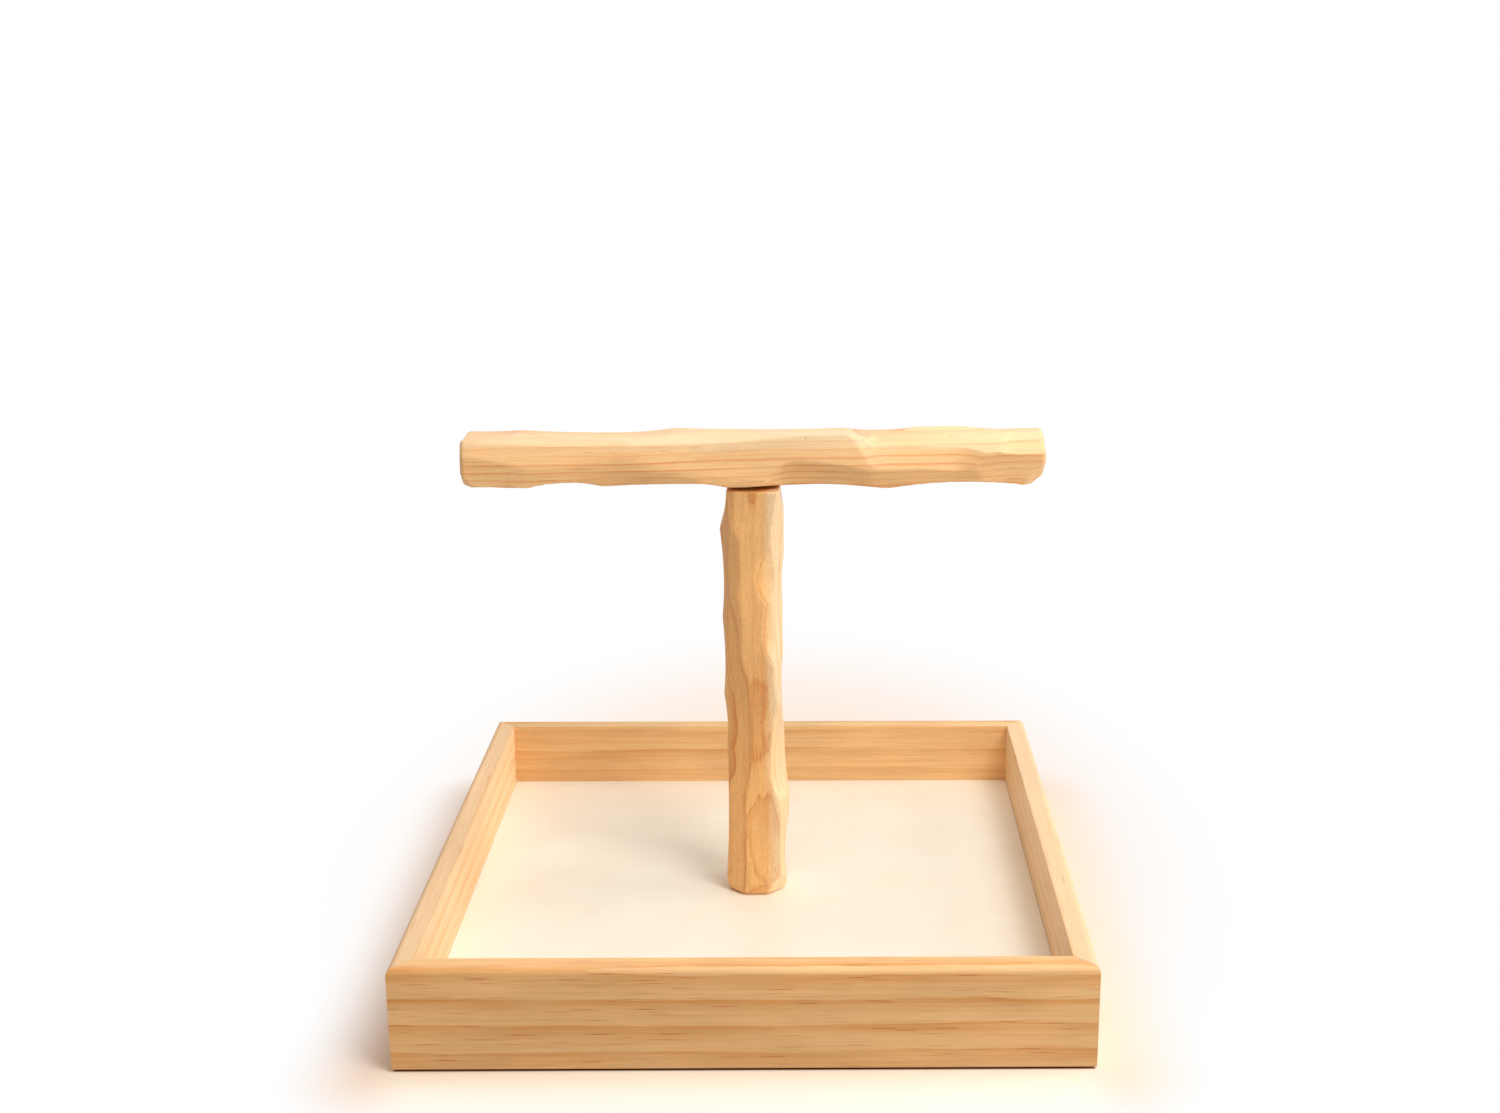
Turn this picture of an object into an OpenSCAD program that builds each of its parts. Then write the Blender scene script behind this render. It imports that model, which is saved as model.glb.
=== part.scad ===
// Tabletop parrot perch: a mitred pine tray with a white floor board, a carved
// post screwed down on the tray's bolt, and a carved crossbar screwed down on the post.
// Millimetres. +X is to the right, +Y to the rear and +Z up.
// The origin is under the middle of the tray, on the surface that it stands on.

/* [Tray] */
// Width of the tray over the side rails
tray_w = 406.4; // [300:0.1:500]
// Depth of the tray over the front and rear rails
tray_d = 406.4; // [300:0.1:500]
// Height of the rails
rail_h = 63.5; // [45:0.5:90]
// Thickness of the rails
rail_t = 14.3; // [10:0.1:20]
// Radius of the rails' outer top edge
rail_round = 4.2; // [1:0.1:8]
// Radius of the rails' outer bottom edge
rail_foot_round = 0.8; // [0.2:0.1:3]
// Thickness of the floor board, whose underside is level with the rails'
board_t = 18.8; // [16:0.1:25]
// Gap between the floor board's edges and the rails
board_gap = 0.2; // [0.1:0.05:1]

/* [Foot pads] */
// Diameter of a foot pad
pad_d = 14; // [8:0.5:25]
// Thickness of a foot pad
pad_h = 1.5; // [1:0.1:5]
// Distance from the tray's sides to a pad's middle
pad_inset = 14; // [8:0.5:40]

/* [Brads] */
// Diameter of a brad
brad_d = 1.25; // [1:0.05:2]
// Length of a brad
brad_l = 31.75; // [25:0.25:38]
// Diameter of a brad's head
brad_head_d = 1.9; // [1.7:0.05:3]
// Thickness of a brad's head
brad_head_t = 0.8; // [0.5:0.05:1.2]
// Depth of the heads under the rails' outer faces
brad_set = 1.5; // [0.5:0.1:3]
// Distance between two board brads along a rail
brad_step = 130; // [60:1:140]
// Height of the lower corner brad over the rail's underside
brad_low = 16; // [8:0.5:20]
// Height of the upper corner brad over the lower one
brad_rise = 30; // [10:0.5:34]

/* [Base bolt] */
// Diameter of the base bolt and of the hanger bolt
bolt_d = 7.9; // [6:0.1:10]
// Length of the base bolt under its head
bolt_l = 38.1; // [36:0.1:40]
// Distance across the flats of the bolt's head and of the nut
hex_af = 12.7; // [11:0.1:15]
// Thickness of the bolt's head
head_t = 5.3; // [4:0.1:6]
// Thickness of the nut
nut_t = 6.7; // [5:0.1:8]
// Diameter of the wide washer under the head
wide_washer_d = 31.7; // [20:0.1:38]
// Diameter of the small washer under the nut
washer_d = 17.5; // [15:0.1:19]
// Thickness of both washers
washer_t = 1.6; // [1:0.1:2]
// Diameter of the recess in the board's underside
recess_d = 35; // [33:0.5:45]
// Depth of the recess in the board's underside
recess_h = 8; // [7.5:0.1:9]

/* [Threaded inserts] */
// Outer diameter of an insert
insert_d = 12.7; // [11:0.1:15]
// Length of an insert
insert_l = 15.9; // [12:0.1:16]
// Depth of the upper insert under the crossbar's seat
insert_sink = 0.5; // [0.2:0.1:1]
// Length of the hanger bolt that stands out of the post
hanger_out = 17; // [15:0.1:20]
// Length of the hanger bolt inside the post
hanger_in = 33.8; // [20:0.1:50]
// Radial gap where one threaded piece turns on another
thread_gap = 0.05; // [0.02:0.01:0.1]
// Radial gap round a piece that stays put in its hole
hole_gap = 0.02; // [0.01:0.01:0.1]
// Spare depth of a blind hole past the bolt in it
hole_spare = 2; // [1:0.5:4]

/* [Post] */
// Length of the post
post_l = 277.8; // [200:0.1:350]
// Thickness of the wood that the post is carved from
post_stock = 40; // [36:0.5:46]
// How far the post stands to the right of the tray's middle
post_x = 1.8; // [-20:0.1:20]
// How far the post stands behind the tray's middle
post_y = 3.5; // [-20:0.1:20]
// Diameter of the recess in the post's foot, over the nut
foot_recess_d = 20.6; // [19.5:0.1:24]
// Depth of the recess in the post's foot
foot_recess_h = 10; // [9.5:0.1:12]
// Rounding of the post's lower end
post_foot_ease = 2.6; // [1:0.1:4]
// Rounding of the post's upper end
post_top_ease = 1.4; // [0.5:0.1:3]

/* [Crossbar] */
// Length of the crossbar
crossbar_l = 369.5; // [250:0.5:450]
// Thickness of the wood that the crossbar is carved from
crossbar_stock = 35; // [32:0.5:42]
// Distance from the crossbar's axis to its flat seat on the post
seat_drop = 18.0; // [15:0.1:20]
// Length of the flat seat
seat_l = 64; // [50:1:80]
// How far the crossbar's middle lies to the right of the post's axis
crossbar_shift = 0.5; // [-20:0.1:20]
// Rounding of the crossbar's ends
crossbar_ease = 3.2; // [2:0.1:8]

/* [Hidden] */

pine = [0.86, 0.70, 0.47];
pine_pale = [0.90, 0.77, 0.56];
board_white = [0.93, 0.90, 0.84];
steel = [0.62, 0.63, 0.65];
brass = [0.78, 0.63, 0.30];
rubber = [0.25, 0.24, 0.23];

// Heights, from the bottom up
board_top = pad_h + board_t;
rail_top = pad_h + rail_h;
recess_top = pad_h + recess_h;
head_top = recess_top - washer_t;
nut_bottom = board_top + washer_t;
post_insert_z = board_top + foot_recess_h;
bolt_tip = head_top + bolt_l;
seat_z = board_top + post_l;
crossbar_z = seat_z + seat_drop;

// Strokes of the carver's knife. Each row holds the side that the stroke is on
// (degrees), its deepest place along the stick (0 to 1), its distance from the
// axis there (share of half the stock), and how slowly it rises before and
// after that place (radius of its sweep, share of the stick's length).
// The post's sides: 0 is right, 90 rear, 180 left and 270 front.
post_strokes = [
    [0, 0.50, 1.08, 30, 30],
    [0, 1.02, 0.845, 0.36, 1],
    [0, 0.89, 0.96, 8, 8],
    [0, 0.755, 0.885, 0.55, 0.55],
    [0, 0.67, 0.907, 2, 2],
    [0, 0.515, 0.865, 1.45, 0.8],
    [0, 0.36, 0.95, 0.66, 3],
    [0, 0.07, 0.945, 0.30, 0.75],
    [0, -0.04, 0.80, 1, 0.12],
    [45, 0.85, 1.02, 1.5, 1.5],
    [45, 0.50, 0.96, 1.2, 1.2],
    [45, 0.18, 1.00, 1.4, 1.4],
    [90, 0.50, 1.00, 30, 30],
    [90, 0.90, 0.94, 1.6, 1.6],
    [90, 0.62, 0.90, 1.1, 1.1],
    [90, 0.35, 0.92, 0.9, 0.9],
    [90, 0.08, 0.93, 1.2, 1.2],
    [135, 0.76, 0.97, 1.6, 1.6],
    [135, 0.40, 0.99, 1.3, 1.3],
    [135, 0.10, 0.97, 1.5, 1.5],
    [180, 0.50, 1.07, 30, 30],
    [180, 1.01, 0.84, 0.33, 1],
    [180, 0.78, 0.965, 0.83, 0.83],
    [180, 0.59, 0.955, 0.94, 0.94],
    [180, 0.415, 0.905, 0.40, 0.40],
    [180, 0.245, 0.90, 3.2, 3.2],
    [180, -0.03, 0.91, 1, 0.40],
    [212, 0.42, 0.95, 2.5, 2.5],
    [212, 0.80, 1.065, 9, 9],
    [225, -0.04, 0.80, 1, 0.12],
    [236, 0.98, 1.04, 0.5, 1],
    [236, 0.816, 1.055, 0.63, 1.2],
    [236, 0.65, 1.00, 2, 0.8],
    [236, 0.42, 0.84, 1.9, 1.3],
    [236, 0.10, 0.92, 1, 3],
    [264, 0.97, 0.905, 0.35, 1],
    [270, 0.50, 0.95, 30, 30],
    [270, -0.02, 0.86, 1, 0.16],
    [272, 0.12, 0.90, 0.6, 2.4],
    [295, 0.795, 0.893, 0.21, 0.22],
    [300, 0.655, 0.945, 0.17, 0.6],
    [315, -0.04, 0.84, 1, 0.16],
    [330, 0.50, 1.11, 30, 30],
    [330, 0.76, 0.905, 2.5, 1.5],
    [330, 0.325, 0.905, 0.21, 0.9]];

// The crossbar's sides: 0 is rear, 90 top, 180 front and 270 underneath.
crossbar_strokes = [
    [0, 0.50, 1.03, 30, 30],
    [0, 0.10, 0.98, 1.2, 1.2],
    [0, 0.36, 0.95, 1.4, 1.4],
    [0, 0.66, 0.97, 1.3, 1.3],
    [0, 0.93, 0.93, 1.1, 1.1],
    [45, 0.20, 0.99, 1.5, 1.5],
    [45, 0.52, 1.03, 2, 2],
    [45, 0.84, 1.08, 1.4, 1.4],
    [90, 0.50, 1.22, 30, 30],
    [90, -0.01, 0.80, 1, 1],
    [90, 0.272, 0.829, 3.43, 0.56],
    [90, 0.495, 0.966, 10, 10],
    [90, 0.7035, 0.874, 0.163, 0.35],
    [90, 0.936, 0.937, 0.40, 4],
    [115, 0.715, 0.81, 0.025, 12],
    [120, 0.95, 0.79, 0.08, 3],
    [125, 0.40, 1.05, 2, 2],
    [130, 0.12, 0.99, 3, 2],
    [157, 0.745, 0.85, 0.28, 0.8],
    [158, 0.05, 0.95, 3, 3],
    [163, 0.84, 0.89, 1, 0.12],
    [166, 0.55, 0.945, 4, 6],
    [178, 0, 0.948, 1, 0.78],
    [180, 0.30, 1.12, 30, 30],
    [190, 0.95, 0.92, 0.3, 3],
    [199, 0.80, 1.03, 1.5, 1.5],
    [203, 0.28, 1.125, 0.6, 1.1],
    [203, 0.57, 0.86, 0.06, 0.70],
    [225, -0.03, 0.80, 1, 0.05],
    [225, 1.03, 0.50, 0.07, 1],
    [257, 0.40, 0.95, 3, 0.22],
    [257, 0.48, 1.08, 5, 5],
    [257, 0.62, 0.965, 1.6, 0.5],
    [270, 0.50, 1.05, 30, 30],
    [270, 0.05, 0.87, 4, 4],
    [270, -0.03, 0.70, 1, 0.065],
    [270, 0.184, 0.685, 0.255, 0.19],
    [270, 0.355, 0.79, 1.18, 0.67],
    [270, 0.6175, 0.85, 0.335, 1.1],
    [270, 0.872, 0.715, 0.80, 0.63],
    [270, 1.03, 0.38, 0.055, 1],
    [315, 0.18, 0.97, 1.4, 1.4],
    [315, 0.50, 1.04, 1.8, 1.8],
    [315, 0.82, 0.95, 1.3, 1.3]];

// How far a cut runs on past the face that it opens
past = 1;
// Sharpness of the ridges between strokes
ridge = 120;
// Sides of a carved stick, and rings along it
stick_sides = 36;
stick_rings = 54;

function total(list) = list * [for (value = list) 1];

// Distance of one stroke's surface from the axis, at place s of a stick
function stroke_reach(stroke, s, half, length) =
    let (gap = s - stroke[1] * length)
    let (sweep = (gap < 0 ? stroke[3] : stroke[4]) * length)
    stroke[2] * half + gap * gap / (2 * sweep);

// Distance of the carved surface from the axis, on one side at place s:
// the nearest stroke's, with the ridge between two strokes a little rounded
function carved_reach(strokes, angle, s, half, length) =
    pow(total([for (stroke = strokes)
        pow(max(0, cos(angle - stroke[0])) / stroke_reach(stroke, s, half, length), ridge)]),
        -1 / ridge);

// How much a rounded end draws the surface in, at a distance from that end
function end_draw(distance, ease) =
    distance >= ease ? 0 : ease - sqrt(ease * ease - pow(ease - distance, 2));

// Places of the rings: close together in the rounded ends, even between them
function ring_places(length, ease_low, ease_high) = concat(
    [for (share = [0, 0.12, 0.45]) share * ease_low],
    [for (i = [0 : stick_rings]) ease_low + (length - ease_low - ease_high) * i / stick_rings],
    [for (share = [0.45, 0.12, 0]) length - share * ease_high]);

// A carved stick along +Z, from 0 to its length
module carved_stick(strokes, stock, length, ease_low, ease_high) {
    places = ring_places(length, ease_low, ease_high);
    points = [for (s = places) for (k = [0 : stick_sides - 1])
        let (angle = 360 * k / stick_sides)
        let (draw = max(end_draw(s, ease_low), end_draw(length - s, ease_high)))
        let (r = carved_reach(strokes, angle, s, stock / 2, length) - draw)
        [r * cos(angle), r * sin(angle), s]];
    last = len(places) - 1;
    walls = [for (i = [0 : last - 1]) for (k = [0 : stick_sides - 1]) for (half = [0, 1])
        let (a = i * stick_sides + k, b = i * stick_sides + (k + 1) % stick_sides)
        half == 0 ? [a, a + stick_sides, b] : [b, a + stick_sides, b + stick_sides]];
    bottom = [for (k = [0 : stick_sides - 1]) k];
    top = [for (k = [stick_sides - 1 : -1 : 0]) last * stick_sides + k];
    polyhedron(points, concat([bottom], walls, [top]));
}

// A brad that points along +Y from a rail's outer face, with room round it
module brad(room) {
    translate([0, brad_set, 0]) rotate([-90, 0, 0]) {
        cylinder(d = brad_d + 2 * room, h = brad_l, $fn = 24);
        cylinder(d = brad_head_d + 2 * room, h = brad_head_t, $fn = 24);
    }
}

// Two brads at each end of the front and rear rails, across the mitres
module corner_brads_with(room) {
    for (turn = [0, 180]) for (side = [-1, 1]) for (step = [0, 1])
        rotate([0, 0, turn])
            translate([side * (tray_w - rail_t) / 2, -tray_d / 2, pad_h + brad_low + step * brad_rise])
                brad(room);
}

// Three brads through each rail into the board's edge
module board_brads_with(room) {
    for (turn = [0 : 90 : 270]) for (step = [-1 : 1])
        rotate([0, 0, turn])
            translate([step * brad_step, -(turn % 180 == 0 ? tray_d : tray_w) / 2, pad_h + board_t / 2])
                brad(room);
}

// What is cut off a square corner at the origin to round it
module corner_waste(r) {
    difference() {
        translate([-past, -past]) square(r + past);
        translate([r, r]) circle(r = r, $fn = 48);
    }
}

// A rail's section: outer face at 0, inner face at rail_t
module rail_section() {
    difference() {
        square([rail_t, rail_h]);
        corner_waste(rail_foot_round);
        translate([0, rail_h]) mirror([0, 1]) corner_waste(rail_round);
    }
}

// A rail with mitred ends along X, with its outer face at y = -out
module mitred_rail(length, out) {
    difference() {
        translate([-length / 2, -out, pad_h]) rotate([90, 0, 90])
            linear_extrude(length) rail_section();
        for (side = [-1, 1])
            translate([side * length / 2, -out, 0]) rotate([0, 0, side * 45])
                translate([side > 0 ? 0 : -2 * rail_t, -rail_t, 0])
                    cube([2 * rail_t, 4 * rail_t, rail_top + past]);
    }
}

// One of the four rails, with its brad holes: turn is 0 for the front one
module tray_rail(turn) {
    length = turn % 180 == 0 ? tray_w : tray_d;
    out = (turn % 180 == 0 ? tray_d : tray_w) / 2;
    difference() {
        rotate([0, 0, turn]) mitred_rail(length, out);
        corner_brads_with(hole_gap);
        board_brads_with(hole_gap);
    }
}

module front_rail() {
    color(pine) tray_rail(0);
}

module right_rail() {
    color(pine) tray_rail(90);
}

module rear_rail() {
    color(pine) tray_rail(180);
}

module left_rail() {
    color(pine) tray_rail(270);
}

module base_board() {
    width = tray_w - 2 * (rail_t + board_gap);
    depth = tray_d - 2 * (rail_t + board_gap);
    color(board_white) difference() {
        translate([-width / 2, -depth / 2, pad_h]) cube([width, depth, board_t]);
        translate([post_x, post_y, pad_h - past]) {
            cylinder(d = recess_d, h = recess_h + past, $fn = 64);
            cylinder(d = bolt_d + 2 * hole_gap, h = board_t + 2 * past, $fn = 48);
        }
        board_brads_with(hole_gap);
    }
}

module corner_brads() {
    color(steel) corner_brads_with(0);
}

module board_brads() {
    color(steel) board_brads_with(0);
}

module foot_pad(side_x, side_y) {
    color(rubber)
        translate([side_x * (tray_w / 2 - pad_inset), side_y * (tray_d / 2 - pad_inset), 0])
            cylinder(d = pad_d, h = pad_h, $fn = 48);
}

module base_bolt() {
    color(steel) translate([post_x, post_y, 0]) {
        translate([0, 0, head_top - head_t]) cylinder(d = hex_af / cos(30), h = head_t, $fn = 6);
        translate([0, 0, head_top]) cylinder(d = bolt_d, h = bolt_l, $fn = 48);
    }
}

// A ring round the base bolt: a washer
module washer(outer_d, bottom_z) {
    color(steel) translate([post_x, post_y, bottom_z]) difference() {
        cylinder(d = outer_d, h = washer_t, $fn = 64);
        translate([0, 0, -past])
            cylinder(d = bolt_d + 2 * hole_gap, h = washer_t + 2 * past, $fn = 48);
    }
}

module base_washer() {
    washer(wide_washer_d, head_top);
}

module top_washer() {
    washer(washer_d, board_top);
}

module base_nut() {
    color(steel) translate([post_x, post_y, nut_bottom]) difference() {
        cylinder(d = hex_af / cos(30), h = nut_t, $fn = 6);
        translate([0, 0, -past])
            cylinder(d = bolt_d + 2 * hole_gap, h = nut_t + 2 * past, $fn = 48);
    }
}

module post() {
    insert_top = foot_recess_h + insert_l;
    color(pine_pale) translate([post_x, post_y, board_top]) difference() {
        carved_stick(post_strokes, post_stock, post_l, post_foot_ease, post_top_ease);
        translate([0, 0, -past]) {
            cylinder(d = foot_recess_d, h = foot_recess_h + past, $fn = 64);
            cylinder(d = insert_d + 2 * thread_gap, h = insert_top + past, $fn = 64);
            cylinder(d = bolt_d + 2 * thread_gap,
                h = max(insert_top, bolt_tip - board_top) + hole_spare + past, $fn = 48);
        }
        translate([0, 0, post_l - hanger_in])
            cylinder(d = bolt_d + 2 * hole_gap, h = hanger_in + past, $fn = 48);
    }
}

// A brass tube, threaded in and out on the real piece
module threaded_insert(bottom_z) {
    color(brass) translate([post_x, post_y, bottom_z]) difference() {
        cylinder(d = insert_d, h = insert_l, $fn = 64);
        translate([0, 0, -past])
            cylinder(d = bolt_d + 2 * thread_gap, h = insert_l + 2 * past, $fn = 48);
    }
}

module post_insert() {
    threaded_insert(post_insert_z);
}

module hanger_bolt() {
    color(steel) translate([post_x, post_y, seat_z - hanger_in])
        cylinder(d = bolt_d, h = hanger_in + hanger_out, $fn = 48);
}

module crossbar_insert() {
    threaded_insert(seat_z + insert_sink);
}

module crossbar() {
    color(pine_pale) translate([post_x, post_y, 0]) difference() {
        translate([crossbar_shift - crossbar_l / 2, 0, crossbar_z]) rotate([90, 0, 90])
            carved_stick(crossbar_strokes, crossbar_stock, crossbar_l, crossbar_ease, crossbar_ease);
        translate([-seat_l / 2, -crossbar_stock, seat_z - crossbar_stock])
            cube([seat_l, 2 * crossbar_stock, crossbar_stock]);
        translate([0, 0, seat_z - past]) {
            cylinder(d = insert_d + 2 * thread_gap, h = insert_sink + insert_l + past, $fn = 64);
            cylinder(d = bolt_d + 2 * thread_gap,
                h = max(insert_sink + insert_l, hanger_out) + hole_spare + past, $fn = 48);
        }
    }
}

front_rail();
rear_rail();
left_rail();
right_rail();
base_board();
corner_brads();
board_brads();
foot_pad(-1, -1);  // foot_pad_front_left
foot_pad(1, -1);  // foot_pad_front_right
foot_pad(-1, 1);  // foot_pad_rear_left
foot_pad(1, 1);  // foot_pad_rear_right
base_bolt();
base_washer();
top_washer();
base_nut();
post();
post_insert();
hanger_bolt();
crossbar_insert();
crossbar();
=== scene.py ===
"""Looks of a tabletop parrot perch: a pine tray, a carved post and a carved crossbar.

All lengths are in metres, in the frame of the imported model: +X to the right,
+Y to the rear and +Z up, with the origin under the middle of the tray. Only
the patterns inside the materials are measured in millimetres.
"""

import math

import bpy
import numpy as np
from mathutils import Euler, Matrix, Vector


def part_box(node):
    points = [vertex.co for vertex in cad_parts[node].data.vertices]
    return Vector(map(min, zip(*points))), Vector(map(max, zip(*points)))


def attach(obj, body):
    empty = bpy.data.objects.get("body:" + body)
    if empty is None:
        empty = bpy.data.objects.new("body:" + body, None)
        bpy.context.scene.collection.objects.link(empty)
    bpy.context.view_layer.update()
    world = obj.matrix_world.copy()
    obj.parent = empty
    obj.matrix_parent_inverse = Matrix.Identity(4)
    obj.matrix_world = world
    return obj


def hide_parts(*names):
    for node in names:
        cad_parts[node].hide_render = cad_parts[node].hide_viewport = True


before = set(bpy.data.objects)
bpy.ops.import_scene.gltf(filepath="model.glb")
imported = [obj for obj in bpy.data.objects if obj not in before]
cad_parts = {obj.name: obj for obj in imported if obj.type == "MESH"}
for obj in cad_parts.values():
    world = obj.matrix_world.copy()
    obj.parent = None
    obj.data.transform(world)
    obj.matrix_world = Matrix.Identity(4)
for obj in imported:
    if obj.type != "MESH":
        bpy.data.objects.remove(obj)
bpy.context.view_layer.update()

MM = 0.001

# Sizes and places, from the frame
front_low, front_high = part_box("front_rail")
board_low, board_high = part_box("base_board")
post_low, post_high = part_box("post")
bar_low, bar_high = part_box("crossbar")
bolt_low, bolt_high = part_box("base_bolt")
nut_low, nut_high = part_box("base_nut")
hanger_low, hanger_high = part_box("hanger_bolt")
insert_low, insert_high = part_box("post_insert")

HALF_WIDTH = front_high.x
HALF_DEPTH = -front_low.y
RAIL_THICKNESS = front_high.y - front_low.y
RAIL_BOTTOM, RAIL_TOP = front_low.z, front_high.z
BOARD_BOTTOM, BOARD_TOP = board_low.z, board_high.z
AXIS_X = (nut_low.x + nut_high.x) / 2
AXIS_Y = (nut_low.y + nut_high.y) / 2
SEAT_Z = post_high.z
POST_LENGTH = post_high.z - post_low.z
BAR_LENGTH = bar_high.x - bar_low.x
BOLT_RADIUS = (hanger_high.x - hanger_low.x) / 2
INSERT_RADIUS = (insert_high.x - insert_low.x) / 2
INSERT_LENGTH = insert_high.z - insert_low.z
HEX_ACROSS = nut_high.y - nut_low.y

# Shapes that the frame's boxes don't tell
RAIL_ROUND = 4.2 * MM
RAIL_FOOT_ROUND = 0.8 * MM
RAIL_EDGE = 0.5 * MM
MITRE_GAP = 0.04 * MM
FRONT_RIGHT_MITRE_GAP = 0.16 * MM
POST_STOCK = 40 * MM
POST_FOOT_EASE = 2.6 * MM
POST_TOP_EASE = 1.4 * MM
FOOT_RECESS_RADIUS = 10.3 * MM
FOOT_RECESS_DEPTH = 10 * MM
FOOT_RECESS_EASE = 0.4 * MM
BAR_STOCK = 35 * MM
BAR_EASE = 3.2 * MM
BAR_Z = SEAT_Z + 18 * MM
SEAT_LENGTH = 64 * MM
THREAD_GAP = 0.05 * MM
HOLE_GAP = 0.02 * MM
HOLE_SPARE = 2 * MM
INSERT_SINK = 0.5 * MM
RECESS_TOP = BOARD_BOTTOM + 8 * MM
WASHER_THICKNESS = 1.6 * MM
HEAD_TOP = RECESS_TOP - WASHER_THICKNESS
SHANK_LOW, SHANK_HIGH = SEAT_Z - 6 * MM, SEAT_Z - 3 * MM

# The bolts' own thread, the coarse one of the hanger bolt's lower half, which
# holds in the wood, and the one outside an insert
THREAD_PITCH, THREAD_DEPTH, THREAD_CHAMFER = 25.4 / 18 * MM, 0.75 * MM, 0.9 * MM
SCREW_PITCH, SCREW_DEPTH, SCREW_POINT = 2.8 * MM, 1.0 * MM, 2.2 * MM
KNIFE_PITCH, KNIFE_DEPTH, KNIFE_CHAMFER = 2.5 * MM, 1.1 * MM, 0.6 * MM
INNER_THREAD_DEPTH = 0.55 * MM
INSERT_FLARE = 0.7 * MM

# A hexagon's corners are chamfered outside a circle, at an angle in degrees.
# The circles are shares of the distance across the flats.
HEAD_CIRCLE, NUT_CIRCLE = 0.93, 0.94
HEX_CHAMFER = 28

# Fineness of the meshes
ROUND_SIDES = 64
BOLT_SIDES = 48
WASHER_SIDES = 96
STICK_SIDES = 144
STICK_RINGS = 340
EASE_RINGS = 9
RAIL_RINGS = 9
INSERT_RINGS = 90
RINGS_IN_A_TURN = 8

# Strokes of the carver's knife. Each row holds the side that the stroke is on
# (degrees), its deepest place along the stick (0 to 1), its distance from the
# axis there (share of half the stock), and how slowly it rises before and
# after that place (radius of its sweep, share of the stick's length).
# The post's sides: 0 is right, 90 rear, 180 left and 270 front.
POST_STROKES = [
    (0, 0.50, 1.08, 30, 30),
    (0, 1.02, 0.845, 0.36, 1),
    (0, 0.89, 0.96, 8, 8),
    (0, 0.755, 0.885, 0.55, 0.55),
    (0, 0.67, 0.907, 2, 2),
    (0, 0.515, 0.865, 1.45, 0.8),
    (0, 0.36, 0.95, 0.66, 3),
    (0, 0.07, 0.945, 0.30, 0.75),
    (0, -0.04, 0.80, 1, 0.12),
    (45, 0.85, 1.02, 1.5, 1.5),
    (45, 0.50, 0.96, 1.2, 1.2),
    (45, 0.18, 1.00, 1.4, 1.4),
    (90, 0.50, 1.00, 30, 30),
    (90, 0.90, 0.94, 1.6, 1.6),
    (90, 0.62, 0.90, 1.1, 1.1),
    (90, 0.35, 0.92, 0.9, 0.9),
    (90, 0.08, 0.93, 1.2, 1.2),
    (135, 0.76, 0.97, 1.6, 1.6),
    (135, 0.40, 0.99, 1.3, 1.3),
    (135, 0.10, 0.97, 1.5, 1.5),
    (180, 0.50, 1.07, 30, 30),
    (180, 1.01, 0.84, 0.33, 1),
    (180, 0.78, 0.965, 0.83, 0.83),
    (180, 0.59, 0.955, 0.94, 0.94),
    (180, 0.415, 0.905, 0.40, 0.40),
    (180, 0.245, 0.90, 3.2, 3.2),
    (180, -0.03, 0.91, 1, 0.40),
    (212, 0.42, 0.95, 2.5, 2.5),
    (212, 0.80, 1.065, 9, 9),
    (225, -0.04, 0.80, 1, 0.12),
    (236, 0.98, 1.04, 0.5, 1),
    (236, 0.816, 1.055, 0.63, 1.2),
    (236, 0.65, 1.00, 2, 0.8),
    (236, 0.42, 0.84, 1.9, 1.3),
    (236, 0.10, 0.92, 1, 3),
    (264, 0.97, 0.905, 0.35, 1),
    (270, 0.50, 0.95, 30, 30),
    (270, -0.02, 0.86, 1, 0.16),
    (272, 0.12, 0.90, 0.6, 2.4),
    (295, 0.795, 0.893, 0.21, 0.22),
    (300, 0.655, 0.945, 0.17, 0.6),
    (315, -0.04, 0.84, 1, 0.16),
    (330, 0.50, 1.11, 30, 30),
    (330, 0.76, 0.905, 2.5, 1.5),
    (330, 0.325, 0.905, 0.21, 0.9),
]

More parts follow.
